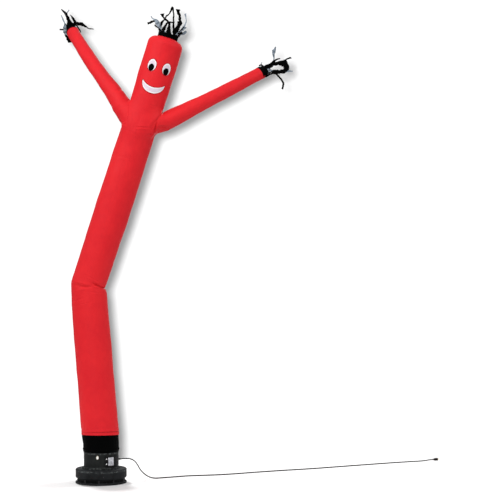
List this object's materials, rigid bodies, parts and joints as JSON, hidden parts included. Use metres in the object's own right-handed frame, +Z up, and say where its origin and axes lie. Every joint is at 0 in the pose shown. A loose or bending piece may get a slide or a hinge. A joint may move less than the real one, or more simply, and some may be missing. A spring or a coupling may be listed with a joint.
{
  "type": "inflatable air dancer with blower",
  "caption": "Tall cloth tube with a smiling face, two raised arms and streamers, kept up by air from a round floor blower with a mains lead.",
  "frame": {"origin": "centre of the blower's underside, on the floor", "axes": "+Z up, the smiling face looks along -Y, +X to the side that the head leans to"},
  "size_m": [4.8769, 2.4175, 5.7833],
  "materials": {
    "red_nylon": "thin ripstop nylon, slight sheen",
    "black_nylon": "black nylon, slight sheen",
    "silver_nylon": "silver-grey coated nylon, satin",
    "white_nylon": "white nylon",
    "blower_plastic": "moulded, lightly textured",
    "pale_plastic": "blank pale plastic",
    "bolt_steel": "zinc plated",
    "cord_rubber": "dark rubber sheath",
    "pin_brass": "bare"
  },
  "bodies": {
    "root": {"body_tube": "red_nylon", "arm_left": "red_nylon", "arm_right": "red_nylon", "cuff": "black_nylon", "pupil_left": "black_nylon", "pupil_right": "black_nylon", "head_fringe": "black_nylon", "left_hand_fringe": "black_nylon", "right_hand_fringe": "black_nylon", "head_silver": "silver_nylon", "left_hand_silver": "silver_nylon", "right_hand_silver": "silver_nylon", "eye_left": "white_nylon", "eye_right": "white_nylon", "smile": "white_nylon", "ground_plate": "blower_plastic", "intake_guard": "blower_plastic", "blower_drum": "blower_plastic", "blower_barrel": "blower_plastic", "switch_panel": "blower_plastic", "cord_gland": "blower_plastic", "blank_plate": "pale_plastic", "oval_cap": "pale_plastic", "spacer_bolt_01": "bolt_steel", "spacer_bolt_02": "bolt_steel", "spacer_bolt_03": "bolt_steel", "spacer_bolt_04": "bolt_steel", "spacer_bolt_05": "bolt_steel", "spacer_bolt_06": "bolt_steel", "spacer_bolt_07": "bolt_steel", "spacer_bolt_08": "bolt_steel", "spacer_bolt_09": "bolt_steel", "spacer_bolt_10": "bolt_steel", "panel_screw_1": "bolt_steel", "panel_screw_2": "bolt_steel", "panel_screw_3": "bolt_steel", "panel_screw_4": "bolt_steel", "cord": "cord_rubber", "plug": "cord_rubber", "pin_live": "pin_brass", "pin_neutral": "pin_brass", "pin_earth": "pin_brass"}
  },
  "joints": []
}
